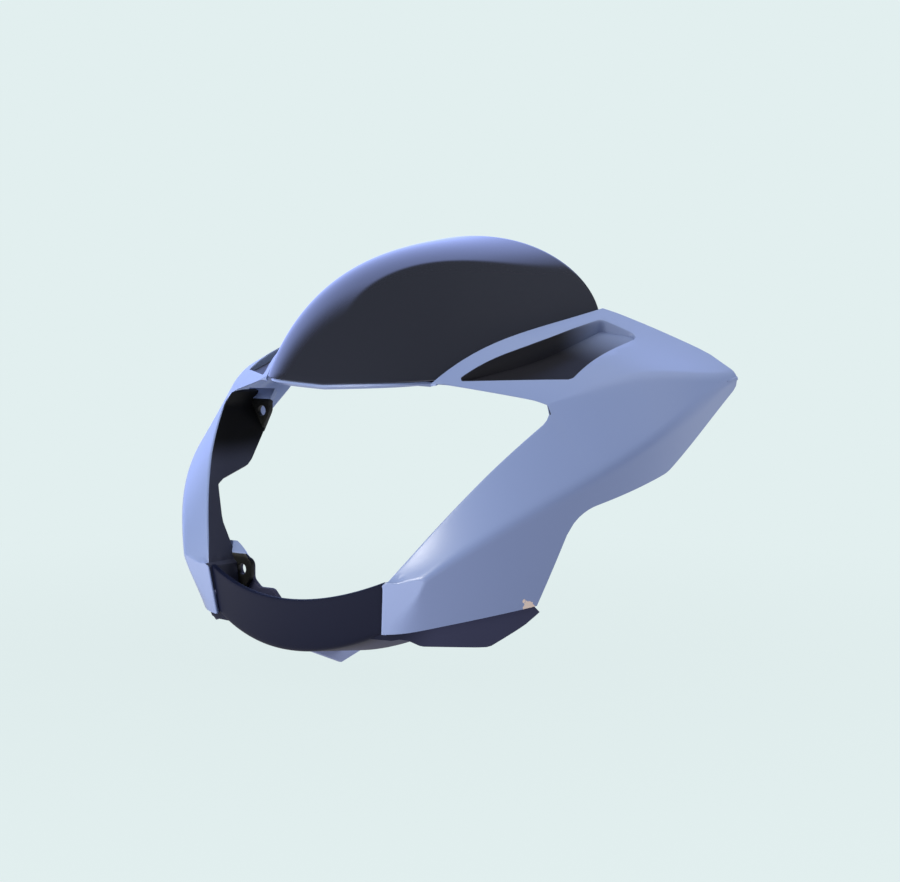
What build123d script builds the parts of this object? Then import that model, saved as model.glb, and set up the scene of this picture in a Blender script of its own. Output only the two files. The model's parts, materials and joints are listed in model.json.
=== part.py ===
"""Headlight cowl for a motorbike: painted shell, dark visor and black chin cover."""
import os
from math import hypot
from build123d import *

# Frame: origin midway between the two upper lamp bolts, X across the bike, Y rearward, Z up.

# Walls and clearances
SHELL_WALL = 2.6
VISOR_WALL = 2.6
COVER_WALL = 3.0
FIT_GAP = 0.4

# Cross-sections of the nose from front to back, one value for each station
STATION_Y = (-103, -58, -8, 52, 112)
CREASE_X = (78, 122, 151.5, 164, 167)
CREASE_Z = (-85, -47, -19.5, 7, 25.5)
BROW_X = (40, 93, 125, 152.5, 164.5)
BROW_Z = (-62.5, -19, 17, 27.5, 29.5)
SEAM_X = (30, 57, 75, 88.5, 98)
SEAM_Z = (-47, 18.5, 46, 59.5, 70.5)
CROWN_Z = (-45, 48, 90, 104.8, 117.8)
SIDE_LEAN = (0.58, 0.34, 0.2, 0.17, 0.15)
BODY_BOTTOM_Z = -147
SEAT_DROP = 2.2
DOME_SHOULDER = (0.94, 0.46)
DOME_TOP_REACH = 0.58

# Front facet beside the chin
FACET_POINT = (62.5, -99.8, -84.3)
FACET_SWEEP = 14.7
FACET_UNDERCUT = 8

# Lamp opening and chin seam, seen from the front
OPENING_LIP_Z = 20.3
OPENING_TIP = (63, 23)
OPENING_CORNER = (125.4, 12.8)
OPENING_FOOT = (64.2, -80)
OPENING_CORNER_R = 8
CHIN_SEAM_TOP = (62, -84)
CHIN_SEAM_FOOT = (58.5, -112)
VISOR_LIP_RISE = 2

# Wing outline, seen from the side
BELLY_FRONT = (-138, -118.2)
BELLY_REAR = (-38.5, -95.2)
ARCH_CORNER = (-29, -44.8)
WING_HEEL = (34, -26.5)
WING_TIP = (101, 18.5)
ARCH_R = 20
HEEL_R = 25
TIP_R = 9

# Wing and visor outline, seen from above
VISOR_REAR_Y = 70
WING_ROOT = (95, 74.5)
WING_SHOULDER = (146, 99.8)
WING_END = (170, 100.5)
WING_ROOT_RUN = 6
LEDGE_WIDTH = 20
FRONT_LEDGE_Y = -38

# Return flange in the opening, seen from the side
FLANGE_EDGE = ((3, 23), (3, -10), (-26, -30), (-60, -38), (-71, -59), (-73, -75), (-73, -96))
FLANGE_EDGE_R = 7
FLANGE_TOP_X = 114

# Lamp tabs on the flange, seen from the front, each with a sloping web above it
UPPER_BOLT = (109.5, 0, 0)
UPPER_TAB = ((103.5, 7), (103.5, -4), (109, -13), (125, -13), (125, 7))
LOWER_BOLT = (58.5, -76, -85.5)
LOWER_TAB = ((51.5, -77), (51.5, -89), (56, -96), (75, -96), (75, -77))
TAB_WALL = 3
UPPER_WEB_SETBACK = 1
LOWER_WEB_SETBACK = 12
WEB_RISE = 6.5
BOLT_HOLE_R = 3.25

# Scoop recess in the brow, seen from above, and its floor
SCOOP_OUTLINE = ((70.5, -42), (118, -1.5), (120, 68), (98, 60.5), (90.5, 6))
SCOOP_FLOOR = ((120, 68, 46.3), (70.5, -42, 23.5), (118, -1.5, 23))
SCOOP_R = 5
SCOOP_TIP_R = 0.5

# Visor bosses, the wells they stand in and their screws
BOSS_PLACES = ((34, -46), (66, 24))
BOSS_R = 3.6
BOSS_DROP = 7
WELL_WALL = 2.4
SCREW_R = 2
SCREW_BITE = 4.5
SCREW_HEAD_R = 3.8
SCREW_HEAD = 2.4
SCREW_GAP = 0.1

# Chin cover
CHIN_FRONT_Y = -108
CHIN_TOP_Z = -93.8
CHIN_FOOT_Z = -122.5
CHIN_SETBACK = 4
CHIN_SWEEP = 10
CHIN_TOP_SMILE = 13
CHIN_FOOT_SMILE = 15.5
CHIN_FLOOR = 46
CHIN_FLOOR_FALL = 6
TONGUE_X = 46
SKIRT_EDGE = ((-106, -111.5), (-91, -112.5), (-83, -117), (-60, -118.5), (-54.5, -118.5),
              (-41, -107), (-35, -100), (-40, -95))
SKIRT_TUCK = 9
FIN = ((-100, -120), (-59, -135.6), (-26, -127.5))
FIN_WALL = 3

# Ears of the chin cover behind the lower tabs, seen from the front
EAR = ((66, -110), (66, -79), (53, -79), (53, -91), (48, -95.5), (38, -95.5), (31, -103),
       (29, -118.5), (58, -111.5))
EAR_R = 4
EAR_HOLE_R = 4

FAR = 300
ALONG_X = (1, 0, 0)
ALONG_Y = (0, 1, 0)
ALONG_Z = (0, 0, 1)


def inset(points, distance):
    """Move an open outline to its left by a wall, with mitred corners."""
    normals = []
    for (x0, z0), (x1, z1) in zip(points, points[1:]):
        length = hypot(x1 - x0, z1 - z0)
        normals.append(((z0 - z1) / length, (x1 - x0) / length))
    moved = [(points[0][0] + distance * normals[0][0], points[0][1] + distance * normals[0][1])]
    for (x, z), a, b in zip(points[1:-1], normals, normals[1:]):
        share = distance / (1 + a[0] * b[0] + a[1] * b[1])
        moved.append((x + share * (a[0] + b[0]), z + share * (a[1] + b[1])))
    x, z = points[-1]
    moved.append((x + distance * normals[-1][0], z + distance * normals[-1][1]))
    return moved


def dome(half_width, y, base_z, crown_z):
    """Half arch of the visor from its side edge up to the centre line."""
    rise = crown_z - base_z
    return Bezier(
        (half_width, y, base_z),
        (DOME_SHOULDER[0] * half_width, y, base_z + DOME_SHOULDER[1] * rise),
        (DOME_TOP_REACH * half_width, y, crown_z),
        (0, y, crown_z),
    )


def station_slope(values, i):
    """Slope of a rail at a station, from its neighbours."""
    low = max(i - 1, 0)
    high = min(i + 1, len(values) - 1)
    return (values[high] - values[low]) / (STATION_Y[high] - STATION_Y[low])


def nose_section(i, depth):
    """Half cross-section of the nose, the given depth below its outer faces."""
    y = STATION_Y[i]
    crease = (CREASE_X[i], CREASE_Z[i])
    brow = (BROW_X[i], BROW_Z[i])
    seam = (SEAM_X[i], SEAM_Z[i])
    foot = (crease[0] - SIDE_LEAN[i] * (crease[1] - BODY_BOTTOM_Z), BODY_BOTTOM_Z)
    seat_z = seam[1] - SEAT_DROP - depth
    roof_x = seam[0] - VISOR_WALL - 2 * FIT_GAP - depth
    roof_z = CROWN_Z[i] - VISOR_WALL - FIT_GAP - depth
    side = [foot, crease, brow, seam]
    if depth:
        side = inset(side, depth * hypot(1, station_slope(CREASE_X, i)))
        brow_x, brow_z = side[2]
        seam_x, seam_z = side[3]
        back = 2 * SEAT_DROP / hypot(seam_x - brow_x, seam_z - brow_z)
        side[3] = (seam_x + back * (brow_x - seam_x), seam_z + back * (brow_z - seam_z))
        side.append((roof_x, seat_z))
    else:
        side += [(seam[0], seat_z), (roof_x, seat_z)]
    points = [(0, y, BODY_BOTTOM_Z), (side[0][0], y, BODY_BOTTOM_Z)]
    points += [(x, y, z) for x, z in side[1:]]
    roof = dome(roof_x, y, seat_z, roof_z)
    close = Line((0, y, roof_z), points[0])
    return make_face(Polyline(*points).edges() + roof.edges() + close.edges())


def facet_block(depth):
    """Everything in front of the front facet, moved inward by a depth."""
    tilt = Pos(*FACET_POINT) * Rot(0, 0, FACET_SWEEP) * Rot(90 + FACET_UNDERCUT, 0, 0)
    return tilt * Pos(0, 0, -depth) * Box(FAR, FAR, FAR, align=(Align.CENTER, Align.CENTER, Align.MIN))


def nose(depth):
    """Right half of the nose as a solid, the given depth below its outer faces."""
    body = loft([nose_section(i, depth) for i in range(len(STATION_Y))])
    return body - facet_block(depth)


def front_view(points):
    """Closed face in the front view from X and Z values."""
    return make_face(Polyline(*[(x, 0, z) for x, z in points], close=True).edges())


def side_view(points):
    """Closed face in the side view from Y and Z values."""
    return make_face(Polyline(*[(0, y, z) for y, z in points], close=True).edges())


def plan_view(points):
    """Closed face in the view from above from X and Y values."""
    return make_face(Polyline(*[(x, y, 0) for x, y in points], close=True).edges())


def round_corner(face, place, radius):
    """Round the corner of a flat face that is nearest to a place."""
    return fillet(face.vertices().sort_by_distance(place)[0], radius)


def through(face, direction):
    """Extrude a flat face right through the cowl, both ways."""
    return extrude(face, FAR, dir=direction, both=True)


def pillar(x, y, low_z, radius, height):
    """Upright cylinder standing on a height."""
    return Pos(x, y, low_z) * Cylinder(radius, height, align=(Align.CENTER, Align.CENTER, Align.MIN))


def seam_x(z):
    """Half width of the chin at a height, on the line of its seam."""
    slope = (CHIN_SEAM_TOP[0] - CHIN_SEAM_FOOT[0]) / (CHIN_SEAM_TOP[1] - CHIN_SEAM_FOOT[1])
    return CHIN_SEAM_FOOT[0] + slope * (z - CHIN_SEAM_FOOT[1])


def opening_face(rise):
    """Lamp opening with the chin seam below it, from the centre plane to the right side."""
    low_z = BODY_BOTTOM_Z - 1
    corner = (OPENING_CORNER[0], OPENING_CORNER[1] + rise)
    face = front_view([
        (-1, OPENING_LIP_Z + rise),
        (OPENING_TIP[0], OPENING_TIP[1] + rise),
        corner,
        OPENING_FOOT,
        CHIN_SEAM_TOP,
        CHIN_SEAM_FOOT,
        (seam_x(low_z), low_z),
        (-1, low_z),
    ])
    return round_corner(face, (corner[0], 0, corner[1]), OPENING_CORNER_R)


def wing_side_cut():
    """What lies below and behind the wing, seen from the side."""
    face = side_view([BELLY_FRONT, BELLY_REAR, ARCH_CORNER, WING_HEEL, WING_TIP,
                      (WING_TIP[0], FAR), (FAR, FAR), (FAR, -FAR), (BELLY_FRONT[0], -FAR)])
    face = round_corner(face, (0, *ARCH_CORNER), ARCH_R)
    face = round_corner(face, (0, *WING_HEEL), HEEL_R)
    face = round_corner(face, (0, *WING_TIP), TIP_R)
    return through(face, ALONG_X)


def wing_plan_cut():
    """What lies behind the wing and the roof, seen from above."""
    face = plan_view([(-1, VISOR_REAR_Y), (WING_ROOT[0] - WING_ROOT_RUN, VISOR_REAR_Y), WING_ROOT,
                      WING_SHOULDER, WING_END, (FAR, WING_END[1]), (FAR, FAR), (-1, FAR)])
    return through(face, ALONG_Z)


def roof_window():
    """Gap in the roof under the visor, which leaves a ledge along its front and sides."""
    rail = [(x - LEDGE_WIDTH, y) for x, y in zip(SEAM_X, STATION_Y)][2:]
    return through(plan_view([(-1, FRONT_LEDGE_Y), (rail[0][0] - LEDGE_WIDTH, FRONT_LEDGE_Y), *rail,
                              (-1, rail[-1][1])]), ALONG_Z)


def return_flange(body):
    """Flange that runs back into the cowl from the edge of the lamp opening."""
    opening = opening_face(0)
    ring = offset(opening, SHELL_WALL, kind=Kind.INTERSECTION) - opening
    edge = side_view([*FLANGE_EDGE, (-FAR, FLANGE_EDGE[-1][1]), (-FAR, FLANGE_EDGE[0][1])])
    for y, z in FLANGE_EDGE[1:-2]:
        edge = round_corner(edge, (0, y, z), FLANGE_EDGE_R)
    roof_gap = front_view([(-FAR, 0), (FLANGE_TOP_X, 0), (FLANGE_TOP_X, FAR), (-FAR, FAR)])
    return through(ring - roof_gap, ALONG_Y) & through(edge, ALONG_X) & body


def lamp_tab(outline, bolt, web_setback):
    """Tab that faces forward on the flange, with a sloping web above it and a bolt hole."""
    plate = extrude(front_view(outline), TAB_WALL, dir=ALONG_Y)
    left, top = outline[0]
    right = outline[-1][0]
    slope = side_view([(0, top), (TAB_WALL, top), (TAB_WALL + WEB_RISE, top + WEB_RISE),
                       (WEB_RISE, top + WEB_RISE)])
    web = Pos(left + web_setback, 0, 0) * extrude(slope, right - left - web_setback, dir=ALONG_X)
    hole = Pos(*bolt) * Rot(90, 0, 0) * Cylinder(BOLT_HOLE_R, 4 * TAB_WALL)
    return Pos(0, bolt[1], 0) * (plate + web) - hole


def scoop_space(grow):
    """Wedge above the floor of the scoop recess, grown by a wall all round and below."""
    face = plan_view(SCOOP_OUTLINE)
    for (x, y), radius in zip(SCOOP_OUTLINE, (SCOOP_TIP_R, SCOOP_R, SCOOP_R, SCOOP_R)):
        face = round_corner(face, (x, y, 0), radius)
    if grow:
        face = offset(face, grow, kind=Kind.ARC)
    a, b, c = [Vector(*p) for p in SCOOP_FLOOR]
    normal = (b - a).cross(c - a).normalized()
    if normal.Z < 0:
        normal = normal * -1
    floor = Plane(a, z_dir=normal) * Pos(0, 0, -grow)
    above = floor * Box(2 * FAR, 2 * FAR, FAR, align=(Align.CENTER, Align.CENTER, Align.MIN))
    return through(face, ALONG_Z) & above


def cowl_shell(seats):
    """Painted shell: hollow nose with its opening, wings, flange, tabs, scoops and visor wells."""
    outer = nose(0)
    half = outer - nose(SHELL_WALL)
    half += scoop_space(SHELL_WALL) & outer
    half -= scoop_space(0)
    half -= through(opening_face(0), ALONG_Y)
    half -= roof_window()
    half += return_flange(outer)
    half += lamp_tab(UPPER_TAB, UPPER_BOLT, UPPER_WEB_SETBACK) & outer
    half += lamp_tab(LOWER_TAB, LOWER_BOLT, LOWER_WEB_SETBACK) & outer
    well_r = BOSS_R + FIT_GAP
    for x, y, z in seats:
        half += pillar(x, y, z - WELL_WALL, well_r + WELL_WALL, BOSS_DROP + WELL_WALL) & outer
        half -= pillar(x, y, z, well_r, 2 * BOSS_DROP)
        half -= pillar(x, y, z - 2 * WELL_WALL, SCREW_R + SCREW_GAP, 4 * WELL_WALL)
        half -= pillar(x, y, z - WELL_WALL - 2 * SCREW_HEAD, SCREW_HEAD_R + FIT_GAP, 2 * SCREW_HEAD)
    half -= wing_side_cut()
    half -= wing_plan_cut()
    return half + mirror(half, Plane.YZ)


def visor_section(i, wall):
    """Arch of the visor at a station across the whole width, filled when it has no wall."""
    y = STATION_Y[i]
    base = SEAM_Z[i] - SEAT_DROP + FIT_GAP
    wide = SEAM_X[i] - FIT_GAP
    outside = dome(wide, y, base, CROWN_Z[i])
    inner_end = (0, y, base)
    half = [outside]
    if wall:
        inside = dome(wide - wall, y, base, CROWN_Z[i] - wall)
        inner_end = inside @ 0
        half.append(inside)
    half.append(Line(outside @ 0, inner_end))
    edges = []
    for edge in half:
        edges += [edge.edge(), mirror(edge.edge(), Plane.YZ)]
    return make_face(edges)


def visor_dome(wall):
    """Dome over the lamp, as a thin skin or filled."""
    body = loft([visor_section(i, wall) for i in range(len(STATION_Y))])
    cut = through(opening_face(VISOR_LIP_RISE), ALONG_Y)
    body -= cut
    body -= mirror(cut, Plane.YZ)
    return body - Pos(0, VISOR_REAR_Y, 0) * Box(2 * FAR, FAR, 2 * FAR,
                                                align=(Align.CENTER, Align.MIN, Align.CENTER))


def boss_seats(skin):
    """Foot of each visor boss on the right side, hung below the underside of the skin."""
    seats = []
    for x, y in BOSS_PLACES:
        hits = skin.find_intersection_points(Axis((x, y, 0), ALONG_Z))
        underside = min(point.Z for point, normal in hits)
        seats.append((x, y, underside - BOSS_DROP))
    return seats


def visor(skin, seats):
    """Dark dome seated in the rebate of the shell, with screw bosses below it."""
    filled = visor_dome(0)
    for x, y, z in seats:
        boss = pillar(x, y, z, BOSS_R, 4 * BOSS_DROP) & filled
        boss -= pillar(x, y, z - 1, SCREW_R + SCREW_GAP, SCREW_BITE + 1.5)
        skin += boss
        skin += mirror(boss, Plane.YZ)
    return skin


def visor_screws(seats):
    """Screws that hold the visor down, with their heads under the wells."""
    screws = []
    for x, y, z in seats:
        under = z - WELL_WALL
        head = pillar(x, y, under - SCREW_HEAD, SCREW_HEAD_R, SCREW_HEAD)
        socket = Pos(x, y, under - SCREW_HEAD) * extrude(RegularPolygon(SCREW_R, 6), SCREW_HEAD / 2)
        screw = head - socket + pillar(x, y, under, SCREW_R, WELL_WALL + SCREW_BITE)
        screws += [screw, mirror(screw, Plane.YZ)]
    return Compound(screws)


def chin_section(x):
    """L-shaped section of the chin: front wall and floor lip, at a distance from the centre."""
    share = (x / CHIN_SEAM_TOP[0]) ** 2
    top_y = CHIN_FRONT_Y + CHIN_SWEEP * share
    top_z = CHIN_TOP_Z + CHIN_TOP_SMILE * share
    foot_y = top_y + CHIN_SETBACK
    foot_z = CHIN_FOOT_Z + CHIN_FOOT_SMILE * share
    rear_y = foot_y + CHIN_FLOOR
    rear_z = foot_z - CHIN_FLOOR_FALL
    outline = Polyline(
        (x, top_y, top_z),
        (x, foot_y, foot_z),
        (x, rear_y, rear_z),
        (x, rear_y, rear_z + COVER_WALL),
        (x, foot_y + COVER_WALL, foot_z + COVER_WALL),
        (x, top_y + COVER_WALL, top_z),
        close=True,
    )
    return make_face(outline.edges())


def chin_ear():
    """Ear that stands on the floor lip behind a lower tab and shares its bolt."""
    face = front_view(EAR)
    for x, z in EAR[3:7]:
        face = round_corner(face, (x, 0, z), EAR_R)
    plate = Pos(0, LOWER_BOLT[1] + TAB_WALL, 0) * extrude(face, COVER_WALL, dir=ALONG_Y)
    return plate - Pos(*LOWER_BOLT) * Rot(90, 0, 0) * Cylinder(EAR_HOLE_R, 8 * TAB_WALL)


def chin_cover():
    """Black lower cover: front band, floor lip, fin, ears and the skirts under the side panels."""
    reach = CHIN_SEAM_TOP[0] + 4
    band = loft([chin_section(x) for x in (-reach, 0, reach)])
    high, low = CHIN_SEAM_TOP[1] + 20, BODY_BOTTOM_Z
    between = [(seam_x(high) - FIT_GAP, high), (seam_x(low) - FIT_GAP, low)]
    between += [(-x, z) for x, z in reversed(between)]
    band &= through(front_view(between), ALONG_Y)
    depth = SHELL_WALL + FIT_GAP
    layer = nose(depth) - nose(depth + COVER_WALL)
    tuck = [(SKIRT_EDGE[-1][0], BELLY_REAR[1] + SKIRT_TUCK), (BELLY_FRONT[0], BELLY_FRONT[1] + SKIRT_TUCK)]
    skirt = layer & through(side_view([*SKIRT_EDGE, *tuck]), ALONG_X)
    skirt &= Pos(TONGUE_X, 0, 0) * Box(FAR, 2 * FAR, 2 * FAR, align=(Align.MIN, Align.CENTER, Align.CENTER))
    side = skirt + chin_ear()
    fin = extrude(side_view(FIN), FIN_WALL / 2, dir=ALONG_X, both=True)
    return band + side + mirror(side, Plane.YZ) + fin


skin = visor_dome(VISOR_WALL)
seats = boss_seats(skin)
pieces = {
    "cowl_shell": cowl_shell(seats),
    "visor": visor(skin, seats),
    "visor_screws": visor_screws(seats),
    "chin_cover": chin_cover(),
}
os.makedirs("parts", exist_ok=True)
for name, piece in pieces.items():
    print(name, piece.is_valid, round(piece.volume), len(piece.solids()))
    export_step(piece, f"parts/{name}.step")
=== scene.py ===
"""Headlight cowl of a motorbike: painted shell, dark visor and black chin cover on a pale studio floor."""
import json
import math
import bmesh
import bpy
from mathutils import Matrix, Vector
from mathutils.geometry import delaunay_2d_cdt
from mathutils.kdtree import KDTree

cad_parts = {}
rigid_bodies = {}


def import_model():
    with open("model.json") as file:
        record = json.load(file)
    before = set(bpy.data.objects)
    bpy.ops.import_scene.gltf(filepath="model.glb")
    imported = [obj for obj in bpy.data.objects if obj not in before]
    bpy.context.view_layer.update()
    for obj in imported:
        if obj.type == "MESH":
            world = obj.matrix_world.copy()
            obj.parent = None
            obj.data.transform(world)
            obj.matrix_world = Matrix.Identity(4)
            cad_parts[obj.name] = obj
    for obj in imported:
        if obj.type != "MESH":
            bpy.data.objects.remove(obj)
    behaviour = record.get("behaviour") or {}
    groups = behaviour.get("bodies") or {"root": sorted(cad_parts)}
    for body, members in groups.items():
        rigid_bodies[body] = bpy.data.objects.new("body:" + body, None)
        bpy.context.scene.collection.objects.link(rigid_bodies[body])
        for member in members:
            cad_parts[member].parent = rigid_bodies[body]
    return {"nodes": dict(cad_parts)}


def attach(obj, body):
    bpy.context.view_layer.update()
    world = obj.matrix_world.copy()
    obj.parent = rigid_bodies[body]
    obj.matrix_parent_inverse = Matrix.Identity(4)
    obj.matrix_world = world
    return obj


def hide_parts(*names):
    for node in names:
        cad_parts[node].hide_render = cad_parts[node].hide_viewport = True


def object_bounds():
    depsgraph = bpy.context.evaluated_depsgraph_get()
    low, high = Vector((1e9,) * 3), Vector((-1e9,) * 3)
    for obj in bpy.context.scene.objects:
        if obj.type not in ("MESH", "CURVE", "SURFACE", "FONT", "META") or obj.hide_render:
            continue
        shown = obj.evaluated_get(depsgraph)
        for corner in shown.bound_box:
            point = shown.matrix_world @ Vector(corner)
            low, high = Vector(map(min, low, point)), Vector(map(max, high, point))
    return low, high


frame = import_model()
cad_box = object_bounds()
nodes = frame["nodes"]

MM = 0.001

# Walls and clearances, in millimetres
SHELL_WALL = 2.6
VISOR_WALL = 2.6
COVER_WALL = 3.0
FIT_GAP = 0.4

# Cross-sections of the nose from front to back, one value for each station
STATION_Y = (-103, -58, -8, 52, 112)
CREASE_X = (78, 122, 151.5, 164, 166.3)
CREASE_Z = (-85, -47, -19.5, 7, 25.5)
BROW_X = (40, 93, 125, 152.5, 164.5)
BROW_Z = (-62.5, -19, 17, 27.5, 29.5)
SEAM_X = (30, 57, 75, 88.5, 98)
SEAM_Z = (-47, 18.5, 46, 59.5, 70.5)
CROWN_Z = (-45, 48, 90, 104.8, 111.3)
SIDE_LEAN = (0.58, 0.34, 0.2, 0.17, 0.15)
BODY_BOTTOM_Z = -147
SEAT_DROP = 2.2
DOME_SHOULDER = (0.94, 0.46)
DOME_TOP_REACH = 0.58

# Front facet beside the chin
FACET_POINT = (62.5, -99.8, -84.3)
FACET_SWEEP = 14.7
FACET_UNDERCUT = 8

# Lamp opening and chin seam, seen from the front
OPENING_LIP_Z = 20.3
OPENING_TIP = (63, 23)
OPENING_CORNER = (122.5, 11.3)
OPENING_FOOT = (64.2, -80)
OPENING_CORNER_R = 8
CHIN_SEAM_TOP = (62, -84)
CHIN_SEAM_FOOT = (58.5, -112)
VISOR_LIP_RISE = 2

# Wing outline, seen from the side
BELLY_FRONT = (-138, -118.2)
BELLY_REAR = (-38.5, -95.2)
ARCH_CORNER = (-29, -44.8)
WING_HEEL = (34, -26.5)
WING_TIP = (101, 18.5)
WING_TOP_Z = 60
ARCH_R = 20
HEEL_R = 25
TIP_R = 9
TIP_DEPTH = 4

# Wing and visor outline, seen from above
VISOR_REAR_Y = 69.5
WING_REAR = ((89, 69.6), (95, 74.1), (146, 99.4), (170, 100.1))
LEDGE_WIDTH = 20
FRONT_LEDGE_Y = -38
LIP_OUT = 0.5

# Return flange in the opening, seen from the side
FLANGE_EDGE = ((3, 23), (3, -10), (-26, -30), (-60, -38), (-71, -59), (-73, -75), (-73, -96))
FLANGE_EDGE_R = 7
FLANGE_TOP_X = 114
FLANGE_MIN = 2

# Lamp tabs, seen from the front, with a sloping web above each
UPPER_BOLT = (109.5, 0, 0)
UPPER_TAB = ((103, 7), (103, 0), (110, -13), (125, -13))
UPPER_WEB_SETBACK = 1
LOWER_BOLT = (58.5, -76, -85.5)
LOWER_TAB = ((55.5, -77), (51.5, -81), (51.5, -89), (56, -96), (75, -96))
LOWER_WEB_SETBACK = 12
TAB_WALL = 3
WEB_RISE = 6.5
WEB_CURVE = 1.5
BOLT_HOLE_R = 3.25
CUTTER_REACH = 15

# Scoop recess in the brow, seen from above
SCOOP_OUTLINE = ((70.5, -42), (118, -1.5), (120, 68), (98, 60.5), (90.5, 6))
SCOOP_RADII = (0.5, 5, 5, 5, 150)
SCOOP_FLOOR = ((120, 68, 46.3), (70.5, -42, 23.5), (118, -1.5, 23))

# Screwed bosses of the visor
BOSS_PLACES = ((34, -46), (66, 24))
BOSS_R = 3.6
BOSS_DROP = 7
BOSS_ROOT = 1
WELL_WALL = 2.4
WELL_GAP = 1.2
SCREW_R = 2
SCREW_BITE = 4.5
SCREW_HEAD_R = 3.8
SCREW_HEAD = 2.4

# Chin cover
CHIN_FRONT_Y = -108
CHIN_TOP_Z = -93.8
CHIN_FOOT_Z = -122.5
CHIN_SETBACK = 4
CHIN_SWEEP = 10
CHIN_TOP_SMILE = 13
CHIN_FOOT_SMILE = 15.5
CHIN_FLOOR = 46
CHIN_FLOOR_FALL = 6
CHIN_EDGE = (0.12, 0.07)
TONGUE_X = 46
SKIRT_EDGE = ((-106, -111.5), (-91, -112.5), (-83, -117), (-60, -118.5), (-54.5, -118.5),
              (-41, -107), (-35, -100), (-40, -95))
SKIRT_RADII = (6, 6, 0, 3, 0)
SKIRT_TUCK = 9
FIN = ((-100, -120), (-59, -135.6), (-26, -127.5))
FIN_WALL = 3
EAR = ((66, -110), (66, -79), (53, -79), (53, -91), (48, -95.5), (38, -95.5), (31, -103),
       (29, -118.5), (58, -111.5))
EAR_RADII = (0, 5, 4, 4, 4, 4, 0, 0)
EAR_HOLE_R = 4

# Softness of the moulded edges, how it fades out at their ends, and angles in degrees
CREASE_SOFT = 5
BROW_SOFT = 4
RIM_SOFT = 1.3
FACET_SOFT = 9
EDGE_SOFT = 0.5
SCOOP_SOFT = 0.8
SOFT_SHARE = 0.3
BROW_PULL = 15
BROW_FADE = 25
RIM_FADE = 8
FACET_FADE = 6
FACET_FIRMING = 1.3
LIP_FADE = 5
EDGE_ANGLE = 50
SHARP_ANGLE = 40

# Share of the wall that is left where it thins out, and how far it takes to reach its full thickness
THIN_SHARE = 0.1
THIN_REACH = 12

# Spacing of the mesh
COLUMN = 2.5
FINE_STEP = 2
CLOSE = 1e-4
FILLET_STEPS = 8
CIRCLE_STEPS = 32
SHANK_SIDES = 24
SOCKET_SIDES = 6
PANEL_ROWS = 10
SOFT_ROWS = 5
FLANGE_ROWS = 6
LEDGE_ROWS = 6
ARCH_ROWS = 40
ARCH_COLUMNS = 60
BAND_COLUMNS = 40
FLOOR_ROWS = 8
SKIRT_ROWS = 8
SKIRT_COLUMNS = 30
TIP_MARKS = 20
SEAM_TRIES = 4
HALVINGS = 40
FRONT_BLEND_Y = -60
REAR_BLEND_Y = 40

# Places in front of the cowl where a search along it starts
FAR_FRONT_Y = -150
ARCH_FRONT_Y = -95
SEAM_FRONT_Y = -90

# Camera of the photograph, in millimetres and degrees
CAMERA_PLACE = (707.6, -927.1, 73.7)
CAMERA_TURN = 36
CAMERA_DOWN = 4.3
CAMERA_LENS = 80
SENSOR = 36

# Colours of the finishes and of painted sheen, with the places in millimetres between which they fade
PAINT = "7F91BE"
PALE_SPOT = "E6D2C6"
PALE_SPOT_R = 4
# Pale blue of the chin's fin: a painted bluish sheen on the black moulding
FIN_SHEEN_BLUE = "93A1CE"
SLATE = "34384B"
# Black that the flange and ledge go to above these heights
FLANGE_TOP_BLACK = "0C0D10"
FLANGE_BLACK_Z = (-30, -14)
# Near-black of the scoop recess, fading into the blue towards its rear end
SCOOP_DARK = "1C1D24"
SCOOP_FADE_Y = (20, 85)
TAB_SPRAY = "0B0D0C"
VISOR_NAVY = "32353F"
CHIN_NAVY = "080E26"
# Slate of the chin's skirts towards the rear: a painted sheen on the same black moulding
SKIRT_SHEEN_SLATE = "3A3D58"
SKIRT_SHEEN_Y = (-98, -75)
SCREW_ZINC = "A9ABAE"

# Floor in metres, with the pool of light in front of the cowl that only the cowl sees
BACKGROUND = "E2EFEF"
FLOOR_SIZE = 12
FLOOR_PAPER = "8F9898"
FLOOR_GLOW = 0.96
SHADOW_REACH = (0.15, 0.6)
FLOOR_BOUNCE = 0.6
FLOOR_TINT = "E8E6EC"
FLOOR_POOL = 3.2
POOL_X = (0.1, 0.25)
POOL_Y = (-0.05, -0.25)

# Room, with its pale wall as ranges of direction
AMBIENT = "E8EAFA"
AMBIENT_LEVEL = 0.35
ROOM_DARK = "16181F"
ROOM_LEVEL = 1.8
WALL_PALE = "A7BAFF"
WALL_X = (-0.4, 0.15)
WALL_Y = (-0.1, 0.3)
WALL_TOP = (0.73, 0.77)

# Lamps: place, target and size in metres, and power in watts. Only the first shows in reflections
LAMP_WARM = "FFFBEE"
LAMPS = {"front softbox": ((-0.32, -0.85, 0.62), (0.09, -0.09, -0.07), (0.4, 0.3), 7),
         "fill softbox": ((-0.25, -1.65, 0.45), (0, -0.04, -0.02), (0.9, 0.7), 10),
         "overhead softbox": ((0.45, 0.6, 1.2), (0.1, 0.04, 0), (1.2, 1), 15),
         "rear softbox": ((0.9, 0.85, 0.15), (0.15, 0.05, 0), (0.5, 0.5), 5)}


def lerp(a, b, share):
    """Value or point part of the way from a to b."""
    return a + (b - a) * share


def steps(count, first=0):
    """Even shares from zero to one, from a first one on."""
    return [i / count for i in range(first, count + 1)]


def solve(test, low, high):
    """Place between low and high where a rising test passes zero."""
    for _ in range(HALVINGS):
        middle = (low + high) / 2
        if test(middle) > 0:
            high = middle
        else:
            low = middle
    return (low + high) / 2


def along(path, value, key, result):
    """One coordinate of a path at a value of another one, which rises along it."""
    for a, b in zip(path, path[1:]):
        if a[key] <= value <= b[key] and b[key] > a[key]:
            return lerp(a[result], b[result], (value - a[key]) / (b[key] - a[key]))
    nearest = min((path[0], path[-1]), key=lambda p: abs(p[key] - value))
    return nearest[result]


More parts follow.
